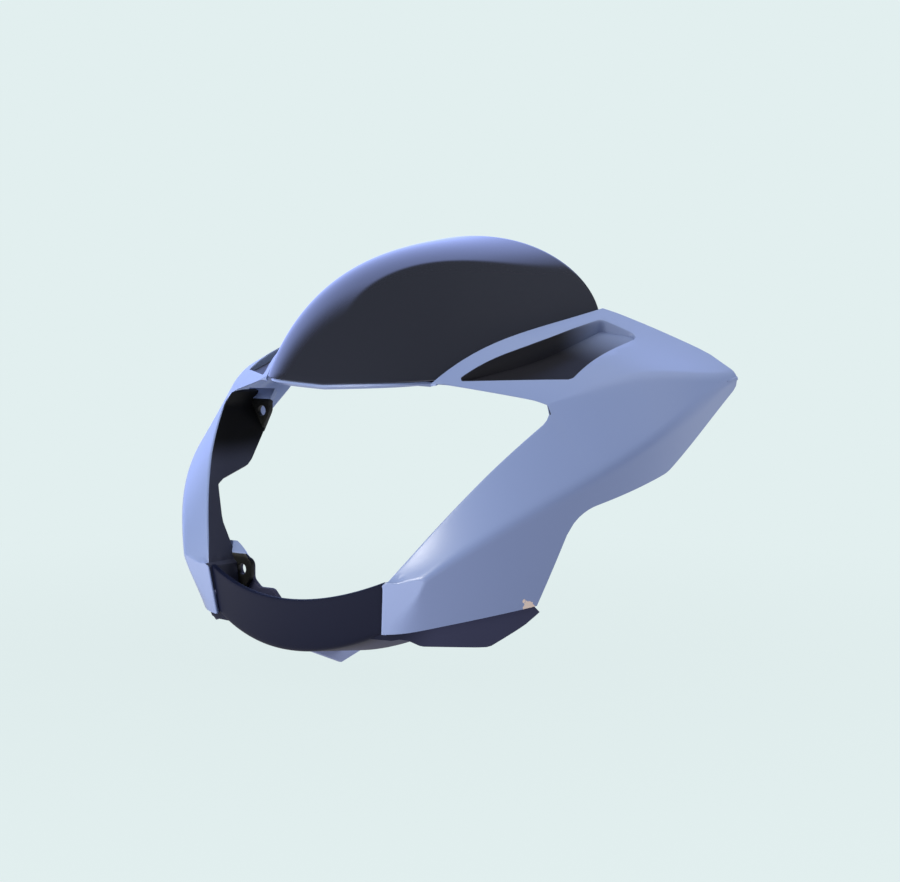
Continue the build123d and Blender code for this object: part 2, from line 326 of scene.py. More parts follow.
def filleted(points, radii):
    """Flat outline with its inner corners rounded by the given radii."""
    path = [Vector(points[0])]
    for before, corner, after, radius in zip(points, points[1:], points[2:], radii):
        corner = Vector(corner)
        a = (Vector(before) - corner).normalized()
        b = (Vector(after) - corner).normalized()
        if radius == 0:
            path.append(corner)
            continue
        half = a.angle(b) / 2
        centre = corner + (a + b).normalized() * (radius / math.sin(half))
        start = corner + a * (radius / math.tan(half)) - centre
        end = corner + b * (radius / math.tan(half)) - centre
        sweep = start.angle(end)
        for t in steps(FILLET_STEPS):
            arc = start * math.sin((1 - t) * sweep) + end * math.sin(t * sweep)
            path.append(centre + arc / math.sin(sweep))
    path.append(Vector(points[-1]))
    return path


def bezier(points, t):
    """Point on a Bezier curve."""
    points = list(points)
    while len(points) > 1:
        points = [lerp(a, b, t) for a, b in zip(points, points[1:])]
    return points[0]


def circle(u, v, radius):
    """Flat ring of points."""
    turns = [2 * math.pi * i / CIRCLE_STEPS for i in range(CIRCLE_STEPS)]
    return [(u + radius * math.cos(t), v + radius * math.sin(t)) for t in turns]


def in_scene(name, data):
    """New object in the scene that shows some data."""
    thing = bpy.data.objects.new(name, data)
    bpy.context.scene.collection.objects.link(thing)
    return thing


class Sheet:
    """Quad mesh made of grids of points in millimetres, welded where they meet."""

    def __init__(self, rows=()):
        self.points, self.faces, self.looks, self.places = [], [], [], {}
        self.grid(rows)

    def vertex(self, point):
        """Number of the vertex at a point."""
        key = tuple(round(v, 2) for v in point)
        if key not in self.places:
            self.places[key] = len(self.points)
            self.points.append(Vector(point))
        return self.places[key]

    def face(self, points, look=0):
        """One face from its corners, unless they fall together."""
        ring = []
        for point in points:
            number = self.vertex(point)
            if number not in ring:
                ring.append(number)
        if len(ring) > 2:
            self.faces.append(ring)
            self.looks.append(look)

    def grid(self, rows, look=0):
        """Faces between neighbouring rows of points."""
        for low, high in zip(rows, rows[1:]):
            for a, b, c, d in zip(low, low[1:], high[1:], high):
                self.face((a, b, c, d), look)

    def add_mirrored(self):
        """Add the left half as the mirror image of what is there."""
        for ring, look in list(zip(self.faces, self.looks)):
            corners = [self.points[i] for i in reversed(ring)]
            self.face([Vector((-p.x, p.y, p.z)) for p in corners], look)

    def to_object(self, name, materials):
        """Object of the sheet, in metres, with each half's faces turned away from the origin."""
        mesh = bpy.data.meshes.new(name)
        mesh.from_pydata([p * MM for p in self.points], [], self.faces)
        for material in materials:
            mesh.materials.append(material)
        mesh.polygons.foreach_set("material_index", self.looks)
        shape = bmesh.new()
        shape.from_mesh(mesh)
        bmesh.ops.recalc_face_normals(shape, faces=shape.faces)
        for side in (1, -1):
            half = [f for f in shape.faces if side * f.calc_center_median().x > 0]
            away = [f.calc_area() * f.normal.dot(f.calc_center_median()) for f in half]
            if sum(away) < 0:
                bmesh.ops.reverse_faces(shape, faces=half)
        shape.to_mesh(mesh)
        shape.free()
        return in_scene(name, mesh)


def add_modifier(thing, kind, **settings):
    """Add a modifier with its settings."""
    modifier = thing.modifiers.new(kind.lower(), kind)
    for name, value in settings.items():
        setattr(modifier, name, value)
    return modifier


def add_wall(thing, wall, thin_places=()):
    """Give a sheet its wall on the inner side, thinner near places where two sides would cross."""
    solid = add_modifier(thing, "SOLIDIFY", thickness=wall * MM, offset=-1, use_quality_normals=True)
    if not thin_places:
        return
    tree = KDTree(len(thin_places))
    for i, place in enumerate(thin_places):
        tree.insert(place * MM, i)
    tree.balance()
    group = thing.vertex_groups.new(name="wall")
    for vertex in thing.data.vertices:
        x, y, z = vertex.co
        distance = tree.find((abs(x), y, z))[2] / MM
        group.add([vertex.index], min(1, THIN_SHARE + distance / THIN_REACH), "REPLACE")
    solid.vertex_group = group.name


def aim_faces(thing, direction):
    """Turn the faces of an open sheet to look along a direction."""
    for face in thing.data.polygons:
        if face.normal.dot(Vector(direction)) < 0:
            face.flip()


def break_edges(thing):
    """Round the sharp edges of a small piece."""
    add_modifier(thing, "BEVEL", width=EDGE_SOFT * MM, segments=2, limit_method="ANGLE",
                 angle_limit=math.radians(EDGE_ANGLE))


def cut_out(thing, cutter):
    """Take the space of a cutter away from a piece."""
    add_modifier(thing, "BOOLEAN", object=cutter, operation="DIFFERENCE", solver="EXACT")
    cutter.hide_render = True


def bake(thing):
    """Turn a piece with its modifiers into a plain smooth mesh with sharp edges."""
    graph = bpy.context.evaluated_depsgraph_get()
    mesh = bpy.data.meshes.new_from_object(thing.evaluated_get(graph))
    thing.modifiers.clear()
    old = thing.data
    thing.data = mesh
    bpy.data.meshes.remove(old)
    mesh.name = thing.name
    mesh.polygons.foreach_set("use_smooth", [True] * len(mesh.polygons))
    mesh.set_sharp_from_angle(angle=math.radians(SHARP_ANGLE))
    return thing


def put_on(thing, node):
    """Let a finished piece stand for a solid, whose own mesh it hides."""
    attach(thing, "root")
    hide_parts(node)


def linear(colour):
    """Linear colour with alpha from an sRGB hex value."""
    parts = [int(colour[i:i + 2], 16) / 255 for i in (0, 2, 4)]
    return (*[p / 12.92 if p <= 0.04045 else ((p + 0.055) / 1.055) ** 2.4 for p in parts], 1)


def add_node(tree, kind, values=None, links=None, **settings):
    """Add a node with its settings, constant inputs and the sockets that feed it."""
    node = tree.nodes.new(kind)
    for name, value in settings.items():
        setattr(node, name, value)
    for key, value in (values or {}).items():
        node.inputs[key].default_value = value
    for key, socket in (links or {}).items():
        tree.links.new(socket, node.inputs[key])
    return node


def new_material(name):
    """Empty node material with its output node."""
    material = bpy.data.materials.new(name)
    material.use_nodes = True
    tree = material.node_tree
    tree.nodes.clear()
    return material, tree, tree.nodes.new("ShaderNodeOutputMaterial")


def painted_plastic():
    """Painted ABS moulding: an even blue-grey coat with a satin gloss, with a small pale cream spot at one
    lower corner.
    """
    material, tree, output = new_material("painted ABS, sprayed and clear-coated")
    place = add_node(tree, "ShaderNodeTexCoord")
    corner = side_panel(BELLY_REAR[0] - PALE_SPOT_R, BELLY_REAR[1])
    away = add_node(tree, "ShaderNodeVectorMath", {1: corner * MM}, {0: place.outputs["Object"]},
                    operation="DISTANCE")
    ragged = add_node(tree, "ShaderNodeTexNoise", {"Scale": 1 / (PALE_SPOT_R * MM), "Detail": 3},
                      {"Vector": place.outputs["Object"]})
    reach = add_node(tree, "ShaderNodeMath", {1: 2 * PALE_SPOT_R * MM}, {0: ragged.outputs["Fac"]},
                     operation="MULTIPLY")
    share = add_node(tree, "ShaderNodeMath", links={0: away.outputs["Value"], 1: reach.outputs[0]},
                     operation="LESS_THAN")
    colour = add_node(tree, "ShaderNodeMix", {6: linear(PAINT), 7: linear(PALE_SPOT)}, {0: share.outputs[0]},
                      data_type="RGBA")
    shader = add_node(tree, "ShaderNodeBsdfPrincipled",
                      {"Roughness": 0.36, "Coat Weight": 0.5, "Coat Roughness": 0.25},
                      {"Base Color": colour.outputs[2]})
    tree.links.new(shader.outputs[0], output.inputs[0])
    return material


def colour_fade(tree, axis, places, before, after):
    """Colour that changes between two places along an axis of the piece, in millimetres."""
    place = add_node(tree, "ShaderNodeTexCoord")
    split = add_node(tree, "ShaderNodeSeparateXYZ", links={0: place.outputs["Object"]})
    share = add_node(tree, "ShaderNodeMapRange", {"From Min": places[0] * MM, "From Max": places[1] * MM},
                     {"Value": split.outputs[axis]}, interpolation_type="SMOOTHSTEP")
    return add_node(tree, "ShaderNodeMix", {6: linear(before), 7: linear(after)}, {0: share.outputs[0]},
                    data_type="RGBA").outputs[2]


def bare_inside():
    """Return flange and ledge in dull dark slate, going black towards the top beside the upper lamp tabs."""
    material, tree, output = new_material("bare ABS, black towards the top")
    colour = colour_fade(tree, "Z", FLANGE_BLACK_Z, SLATE, FLANGE_TOP_BLACK)
    shader = add_node(tree, "ShaderNodeBsdfPrincipled", {"Roughness": 0.55, "Specular IOR Level": 0.3},
                      {"Base Color": colour})
    tree.links.new(shader.outputs[0], output.inputs[0])
    return material


def scoop_fade():
    """Scoop recess: matt near-black at the front, fading out into the blue towards its rear end."""
    material, tree, output = new_material("near-black scoop fading into blue paint")
    colour = colour_fade(tree, "Y", SCOOP_FADE_Y, SCOOP_DARK, PAINT)
    shader = add_node(tree, "ShaderNodeBsdfPrincipled", {"Roughness": 0.5}, {"Base Color": colour})
    tree.links.new(shader.outputs[0], output.inputs[0])
    return material


def matt_black():
    """Lamp tabs sprayed matt black."""
    material, tree, output = new_material("ABS sprayed matt black")
    shader = add_node(tree, "ShaderNodeBsdfPrincipled", {"Base Color": linear(TAB_SPRAY), "Roughness": 0.55})
    tree.links.new(shader.outputs[0], output.inputs[0])
    return material


def fin_painted_sheen():
    """Thin fin below the chin of the black cover, coloured pale satin blue: a painted bluish sheen on the
    black moulding.
    """
    material, tree, output = new_material("black ABS with painted bluish sheen")
    shader = add_node(tree, "ShaderNodeBsdfPrincipled", {"Base Color": linear(FIN_SHEEN_BLUE), "Roughness": 0.4})
    tree.links.new(shader.outputs[0], output.inputs[0])
    return material


def gloss_visor():
    """Polished dark navy moulding: nearly black to the eye, with a clear mirror gloss."""
    material, tree, output = new_material("polished dark acrylic moulding")
    shader = add_node(tree, "ShaderNodeBsdfPrincipled",
                      {"Base Color": linear(VISOR_NAVY), "Roughness": 0.07, "IOR": 1.6})
    tree.links.new(shader.outputs[0], output.inputs[0])
    return material


def black_cover():
    """Unpainted black-blue moulding with a dull satin surface, lighter slate towards the rear along the
    skirts: a painted sheen.
    """
    material, tree, output = new_material("unpainted black polypropylene, moulded")
    colour = colour_fade(tree, "Y", SKIRT_SHEEN_Y, CHIN_NAVY, SKIRT_SHEEN_SLATE)
    shader = add_node(tree, "ShaderNodeBsdfPrincipled", {"Roughness": 0.5, "Specular IOR Level": 0.18},
                      {"Base Color": colour})
    tree.links.new(shader.outputs[0], output.inputs[0])
    return material


def plated_steel():
    """Zinc plated steel of the small screws: a grey metal with a soft shine."""
    material, tree, output = new_material("zinc plated steel, turned")
    shader = add_node(tree, "ShaderNodeBsdfPrincipled",
                      {"Base Color": linear(SCREW_ZINC), "Metallic": 1, "Roughness": 0.35})
    tree.links.new(shader.outputs[0], output.inputs[0])
    return material


def floor_material():
    """Matt paper floor: glows in the background colour, with a soft shadow below the cowl."""
    material, tree, output = new_material("matt background paper")
    seen = add_node(tree, "ShaderNodeLightPath").outputs["Is Camera Ray"]
    paper = add_node(tree, "ShaderNodeBsdfDiffuse", {"Color": linear(FLOOR_PAPER)})
    tint = add_node(tree, "ShaderNodeMix", {6: linear(FLOOR_TINT), 7: linear(BACKGROUND)}, {0: seen},
                    data_type="RGBA")
    place = add_node(tree, "ShaderNodeTexCoord").outputs["Object"]
    split = add_node(tree, "ShaderNodeSeparateXYZ", links={0: place})
    ahead = add_node(tree, "ShaderNodeMapRange", {"From Min": POOL_Y[0], "From Max": POOL_Y[1]},
                     {"Value": split.outputs["Y"]}, interpolation_type="SMOOTHSTEP")
    aside = add_node(tree, "ShaderNodeMapRange",
                     {"From Min": POOL_X[0], "From Max": POOL_X[1], "To Min": FLOOR_POOL - 1, "To Max": 0},
                     {"Value": split.outputs["X"]}, interpolation_type="SMOOTHSTEP")
    pool = add_node(tree, "ShaderNodeMath", {2: 1}, {0: ahead.outputs[0], 1: aside.outputs[0]},
                    operation="MULTIPLY_ADD")
    strength = add_node(tree, "ShaderNodeMix", {3: 1}, {0: seen, 2: pool.outputs[0]})
    glow = add_node(tree, "ShaderNodeEmission",
                    links={"Color": tint.outputs[2], "Strength": strength.outputs[0]})
    reach = add_node(tree, "ShaderNodeVectorMath", links={0: place}, operation="LENGTH")
    shadow = add_node(tree, "ShaderNodeMapRange",
                      {"From Min": SHADOW_REACH[0], "From Max": SHADOW_REACH[1], "To Min": FLOOR_GLOW,
                       "To Max": 1}, {"Value": reach.outputs["Value"]}, interpolation_type="SMOOTHSTEP")
    share = add_node(tree, "ShaderNodeMix", {2: FLOOR_BOUNCE}, {0: seen, 3: shadow.outputs[0]})
    mix = add_node(tree, "ShaderNodeMixShader",
                   links={0: share.outputs[0], 1: paper.outputs[0], 2: glow.outputs[0]})
    tree.links.new(mix.outputs[0], output.inputs[0])
    return material


def studio_world():
    """Room: background colour where it is seen, a plain level as light, a pale wall in reflections."""
    world = bpy.data.worlds.new("studio")
    bpy.context.scene.world = world
    world.use_nodes = True
    tree = world.node_tree
    tree.nodes.clear()
    output = tree.nodes.new("ShaderNodeOutputWorld")
    rays = add_node(tree, "ShaderNodeLightPath").outputs
    seen = add_node(tree, "ShaderNodeMath", operation="MAXIMUM",
                    links={0: rays["Is Camera Ray"], 1: rays["Is Transmission Ray"]})
    place = add_node(tree, "ShaderNodeTexCoord")
    split = add_node(tree, "ShaderNodeSeparateXYZ", links={0: place.outputs["Generated"]})
    below = add_node(tree, "ShaderNodeMapRange",
                     {"From Min": WALL_TOP[0], "From Max": WALL_TOP[1], "To Min": 1, "To Max": 0},
                     {"Value": split.outputs["Z"]}, interpolation_type="SMOOTHSTEP")
    behind = add_node(tree, "ShaderNodeMapRange", {"From Min": WALL_Y[0], "From Max": WALL_Y[1]},
                      {"Value": split.outputs["Y"]}, interpolation_type="SMOOTHSTEP")
    left = add_node(tree, "ShaderNodeMapRange",
                    {"From Min": WALL_X[0], "From Max": WALL_X[1], "To Min": 1, "To Max": 0},
                    {"Value": split.outputs["X"]}, interpolation_type="SMOOTHSTEP")
    corner = add_node(tree, "ShaderNodeMath", links={0: behind.outputs[0], 1: left.outputs[0]},
                      operation="MULTIPLY")
    wall = add_node(tree, "ShaderNodeMath", links={0: below.outputs[0], 1: corner.outputs[0]},
                    operation="MULTIPLY")
    room = add_node(tree, "ShaderNodeMix", {6: linear(ROOM_DARK), 7: linear(WALL_PALE)},
                    {0: wall.outputs[0]}, data_type="RGBA")
    plain = add_node(tree, "ShaderNodeBackground", {"Color": linear(AMBIENT), "Strength": AMBIENT_LEVEL})
    mirror = add_node(tree, "ShaderNodeBackground", {"Strength": ROOM_LEVEL}, {"Color": room.outputs[2]})
    colour = add_node(tree, "ShaderNodeBackground", {"Color": linear(BACKGROUND), "Strength": 1})
    light = add_node(tree, "ShaderNodeMixShader",
                     links={0: rays["Is Glossy Ray"], 1: plain.outputs[0], 2: mirror.outputs[0]})
    mix = add_node(tree, "ShaderNodeMixShader",
                   links={0: seen.outputs[0], 1: light.outputs[0], 2: colour.outputs[0]})
    tree.links.new(mix.outputs[0], output.inputs[0])


def area_light(name, place, target, size, power):
    """Soft rectangular lamp aimed at a point, in metres and watts."""
    data = bpy.data.lights.new(name, "AREA")
    data.shape = "RECTANGLE"
    data.size, data.size_y = size
    data.energy = power
    data.color = linear(LAMP_WARM)[:3]
    lamp = in_scene(name, data)
    lamp.location = place
    lamp.rotation_euler = (Vector(target) - Vector(place)).to_track_quat("-Z", "Y").to_euler()
    return lamp


def make_stage():
    """Floor, world, lamps and the camera."""
    half, z = FLOOR_SIZE / 2, cad_box[0].z
    mesh = bpy.data.meshes.new("floor")
    corners = [(-half, -half, z), (half, -half, z), (half, half, z), (-half, half, z)]
    mesh.from_pydata(corners, [], [(0, 1, 2, 3)])
    mesh.materials.append(floor_material())
    floor = in_scene("floor", mesh)
    studio_world()
    front, *others = [area_light(name, *values) for name, values in LAMPS.items()]
    for lamp in others:
        lamp.visible_glossy = False
    lit = bpy.data.collections.new("lit by the front softbox")
    for thing in bpy.context.scene.objects:
        if thing.type == "MESH" and thing.name not in ("visor_dome", "floor"):
            lit.objects.link(thing)
    front.light_linking.receiver_collection = lit

    data = bpy.data.cameras.new("camera")
    data.lens = CAMERA_LENS
    data.sensor_width = SENSOR
    camera = in_scene("camera", data)
    camera.location = [v * MM for v in CAMERA_PLACE]
    camera.rotation_euler = (math.radians(90 - CAMERA_DOWN), 0, math.radians(CAMERA_TURN))
    bpy.context.scene.camera = camera


def rail(values, y):
    """Value of a rail that runs smoothly through the stations."""
    total = 0
    for i, (place, value) in enumerate(zip(STATION_Y, values)):
        weight = 1
        for k, other in enumerate(STATION_Y):
            if k != i:
                weight *= (y - other) / (place - other)
        total += weight * value
    return total


def rail_line(xs, zs):
    """Line along the nose, as a point for each place along the cowl."""
    return lambda y: Vector((rail(xs, y), y, rail(zs, y)))


FOOT_X = [x - lean * (z - BODY_BOTTOM_Z) for x, z, lean in zip(CREASE_X, CREASE_Z, SIDE_LEAN)]
crease = rail_line(CREASE_X, CREASE_Z)
brow = rail_line(BROW_X, BROW_Z)
seam = rail_line(SEAM_X, SEAM_Z)


def side_panel(y, z):
    """Point on the side panel below the crease."""
    top = crease(y)
    share = (z - BODY_BOTTOM_Z) / (top.z - BODY_BOTTOM_Z)
    return Vector((lerp(rail(FOOT_X, y), top.x, share), y, z))


def facet_normal():
    """Direction that the front facet faces."""
    sweep, under = math.radians(FACET_SWEEP), math.radians(FACET_UNDERCUT)
    return Vector((math.sin(sweep) * math.cos(under), -math.cos(sweep) * math.cos(under), -math.sin(under)))


def behind_facet(point):
    """Distance of a point behind the front facet."""
    return -(point - Vector(FACET_POINT)).dot(facet_normal())


def on_facet(x, z):
    """Point on the front facet, seen from the front."""
    return Vector((x, solve(lambda y: behind_facet(Vector((x, y, z))), FAR_FRONT_Y, 0), z))


def depth_inside(x, z, y):
    """How far a place in the front view lies inside a section of the nose."""
    corners = [side_panel(y, BODY_BOTTOM_Z), crease(y), brow(y), seam(y)]
    depths = []
    for a, b in zip(corners, corners[1:]):
        run = math.hypot(b.x - a.x, b.z - a.z)
        depths.append(((b.x - a.x) * (z - a.z) - (b.z - a.z) * (x - a.x)) / run)
    return min(depths)


def on_nose(x, z):
    """Point on the outside of the nose, seen from the front."""
    return Vector((x, solve(lambda y: depth_inside(x, z, y), STATION_Y[0], REAR_BLEND_Y), z))


def seam_x(z):
    """Half width of the chin at a height, on the line of its seam."""
    return lerp(CHIN_SEAM_FOOT[0], CHIN_SEAM_TOP[0],
                (z - CHIN_SEAM_FOOT[1]) / (CHIN_SEAM_TOP[1] - CHIN_SEAM_FOOT[1]))


def opening_top_z(x):
    """Height of the upper edge of the lamp opening."""
    return along(((0, OPENING_LIP_Z), OPENING_TIP, OPENING_CORNER), x, 0, 1)


def subdivided(path, step):
    """Path with points no further apart than a step."""
    fine = [path[0]]
    for a, b in zip(path, path[1:]):
        fine += [lerp(a, b, t) for t in steps(max(1, math.ceil((b - a).length / step)), 1)]
    return fine


BELLY = filleted((BELLY_FRONT, BELLY_REAR, ARCH_CORNER, WING_HEEL, WING_TIP, (WING_TIP[0], WING_TOP_Z)),
                 (0, ARCH_R, HEEL_R, TIP_R))
FLANGE = filleted(FLANGE_EDGE, [FLANGE_EDGE_R] * 4 + [0])[::-1]
rim_path = subdivided(filleted((OPENING_TIP, OPENING_CORNER, OPENING_FOOT), (OPENING_CORNER_R,)), FINE_STEP)
rim_points = [on_nose(x, z) for x, z in rim_path]
apex = max(range(len(rim_points)), key=lambda i: rim_points[i].y)
APEX = rim_points[apex]
RIM_TOP = rim_points[:apex + 1]
RIM_SIDE = rim_points[apex:][::-1]
SEAM_START_Y = solve(lambda y: seam(y).z - opening_top_z(seam(y).x), SEAM_FRONT_Y, 0)


def rim_at(path, y):
    """Point of the opening's edge at a place along the cowl."""
    return Vector((along(path, y, 1, 0), y, along(path, y, 1, 2)))


def panel_ends(y):
    """Foot of the side panel, and the crease between its two soft ends."""
    corner = crease(y)
    foot = side_panel(y, min(along(BELLY, y, 0, 1), corner.z - TIP_DEPTH))
    top = rim_at(RIM_SIDE, y) if y < APEX.y else brow(y)
    down, up = foot - corner, top - corner
    soft = min(CREASE_SOFT, SOFT_SHARE * down.length, SOFT_SHARE * up.length)
    return foot, corner + down.normalized() * soft, corner, corner + up.normalized() * soft


def brow_ends(y):
    """The brow line between its soft ends, drawn to the opening's corner in front."""
    corner = brow(y)
    corner += (APEX - brow(APEX.y)) * max(0, 1 - (y - APEX.y) / BROW_PULL)
    soft = BROW_SOFT * min(1, (y - APEX.y) / BROW_FADE)
    down, up = crease(y) - corner, seam(y) - corner
    return corner + down.normalized() * soft, corner, corner + up.normalized() * soft


def rim_ends(path, y, inner):
    """The opening's edge between its soft ends on the skin and on the flange."""
    edge = rim_at(path, y)
    soft = RIM_SOFT * min(1, abs(y - APEX.y) / RIM_FADE, abs(y - path[0].y) / RIM_FADE)
    return edge + (inner - edge).normalized() * soft, edge, edge + Vector((0, soft, 0))


def cheek_ends(y):
    """Ends of the cheek on the soft crease and on the opening or the brow."""
    low = panel_ends(y)[3]
    return low, rim_ends(RIM_SIDE, y, low)[0] if y < APEX.y else brow_ends(y)[0]


def rows_of(ends_at, count, first=0):
    """Rows of a panel or a soft edge, each as a point for every place along the cowl."""
    return [lambda y, t=t: bezier(ends_at(y), t) for t in steps(count, first)]


def spread(low, high, keep=()):
    """Places along the cowl at about the column spacing, some kept exactly."""
    marks = sorted({low, high, *[k for k in keep if low < k < high]})
    places = [low]
    for a, b in zip(marks, marks[1:]):
        places += [lerp(a, b, t) for t in steps(max(1, round((b - a) / COLUMN)), 1)]
    return places


def front_of(row):
    """Where a row meets the front facet."""
    return solve(lambda y: behind_facet(row(y)), STATION_Y[0], FRONT_BLEND_Y)


def rear_of(row):
    """Where a row meets the wing's rear edge, seen from above."""
    def past(y):
        return y - min(along(WING_REAR, row(y).x, 0, 1), WING_TIP[0])
    return solve(past, REAR_BLEND_Y, WING_TIP[0])


def stretched(row, places, front):
    """Points of a row at even places, drawn out to the row's own ends."""
    rear = rear_of(row)
    points = []
    for y in places:
        if y < FRONT_BLEND_Y:
            y = lerp(FRONT_BLEND_Y, front, (FRONT_BLEND_Y - y) / (FRONT_BLEND_Y - places[0]))
        elif y > REAR_BLEND_Y:
            y = lerp(REAR_BLEND_Y, rear, (y - REAR_BLEND_Y) / (places[-1] - REAR_BLEND_Y))
        points.append(row(y))
    return points


def facet_left(bottom_z, top_z, count):
    """Points up the inner edge of the front facet, beside the chin."""
    heights = [lerp(bottom_z, top_z, t) for t in steps(count - 1)]
    return [on_facet(seam_x(min(z, CHIN_SEAM_TOP[1])), z) for z in heights]


def soft_bend(ends):
    """Points round a soft edge from one end to the other."""
    return [bezier(ends, t) for t in steps(SOFT_ROWS)]


def facet_fillet(rows, corners, inner_end):
    """Soft edge from the side rows round onto the front facet, as rows from the facet out."""
    soft_rows = []
    for k, (row, corner) in enumerate(zip(rows, corners)):
        before, after = corners[max(k - 1, 0)], corners[min(k + 1, len(corners) - 1)]
        inward = facet_normal().cross(after - before).normalized()
        if k == 0:
            inward = (inner_end - corner).normalized()
        fade = min(1, (corner - corners[-1]).length / FACET_FADE)
        soft = fade * lerp(FACET_SOFT, RIM_SOFT, min(1, FACET_FIRMING * k / PANEL_ROWS))
        soft_rows.append(soft_bend((corner + inward * soft, corner, row(corner.y + soft))))
    return soft_rows


def facet_grid(right, top, left):
    """Front facet filled in between its four edges."""
    bottom_right, bottom_left, top_right, top_left = right[0], left[0], right[-1], left[-1]
    rows = []
    for v, a, b in zip(steps(len(right) - 1), right, left):
        row = []
        for u, c in zip(steps(len(top) - 1), top):
            bottom = lerp(bottom_right, bottom_left, u)
            corners = lerp(bottom, lerp(top_right, top_left, u), v)
            row.append(lerp(a, b, u) + lerp(bottom, c, v) - corners)
        rows.append(row)
    return rows


def flange_rows(edge):
    """Return flange that runs back from an edge of the opening."""
    rows = []
    for share in steps(FLANGE_ROWS):
        rears = [max(along(FLANGE, p.z, 1, 0), p.y + FLANGE_MIN) for p in edge]
        rows.append([Vector((p.x, lerp(p.y, rear, share), p.z)) for p, rear in zip(edge, rears)])
    return rows


def brow_height(x, y):
    """Height of the brow above a place in plan."""
    low, high = brow(y), seam(y)
    return lerp(low.z, high.z, (x - low.x) / (high.x - low.x))


def scoop_floor(x, y):
    """Height of the scoop's flat floor above a place in plan."""
    a, b, c = [Vector(p) for p in SCOOP_FLOOR]
    normal = (b - a).cross(c - a)
    return a.z - (normal.x * (x - a.x) + normal.y * (y - a.y)) / normal.z


def scoop_ring(grow):
    """Closed outline of the scoop on the brow, grown outwards in plan."""
    first, last = Vector(SCOOP_OUTLINE[0]), Vector(SCOOP_OUTLINE[-1])
    middle = (first + last) / 2
    path = subdivided(filleted((middle, *SCOOP_OUTLINE, middle), SCOOP_RADII), COLUMN)[:-1]
    ring = []
    for i, p in enumerate(path):
        ahead = path[(i + 1) % len(path)] - path[i - 1]
        x, y = p + Vector((ahead.y, -ahead.x)).normalized() * grow
        ring.append(Vector((x, y, brow_height(x, y))))
    return ring


def in_plan(ring, point):
    """Whether a point lies inside a closed ring, seen from above."""
    inside = False
    for a, b in zip(ring, ring[1:] + ring[:1]):
        if (a.y > point.y) != (b.y > point.y) and point.x < lerp(a.x, b.x, (point.y - a.y) / (b.y - a.y)):
            inside = not inside
    return inside


def fill_brow(sheet, tongue, brows):
    """Brow between the opening, its own line, the wing's end and the seam, round the scoop."""
    outline = tongue[0] + brows[0] + [row[-1] for row in brows]
    outline += brows[-1][::-1] + tongue[-1][::-1]
    margin = scoop_ring(COLUMN / 2)
    inner = [p for row in tongue[1:-1] + brows[1:-1] for p in row[1:-1] if not in_plan(margin, p)]
    hole = scoop_ring(SCOOP_SOFT / 2)
    loops = [list(dict.fromkeys(sheet.vertex(p) for p in path)) for path in (outline, hole)]
    numbers = list(dict.fromkeys(loops[0] + loops[1] + [sheet.vertex(p) for p in inner]))
    edges = []
    for ring in loops:
        start, count = len(edges), len(ring)
        edges += [(start + i, start + (i + 1) % count) for i in range(count)]
    inside_edges = 1
    result = delaunay_2d_cdt([sheet.points[n].xy for n in numbers], edges, [], inside_edges, CLOSE)
    faces, sources = result[2:4]
    for face in faces:
        corners = [sheet.points[numbers[sources[i][0]]] for i in face]
        if not in_plan(hole, sum(corners, Vector()) / 3):
            sheet.face(corners)


def add_scoop(sheet):
    """Scoop recess: soft rim, upright walls and flat floor, black but for its outer wall."""
    columns = []
    for outer, edge in zip(scoop_ring(SCOOP_SOFT / 2), scoop_ring(-SCOOP_SOFT / 2)):
        floor = edge.copy()
        floor.z = min(scoop_floor(edge.x, edge.y), edge.z - SCOOP_SOFT)
        wall = lerp(edge, floor, 0.5)
        columns.append(soft_bend((outer, edge, wall)) + [floor])
    for a, b in zip(columns, columns[1:] + columns[:1]):
        run = b[0] - a[0]
        sheet.grid((a, b), 0 if run.y > abs(run.x) else 2)
    sheet.face([column[-1] for column in columns], 2)


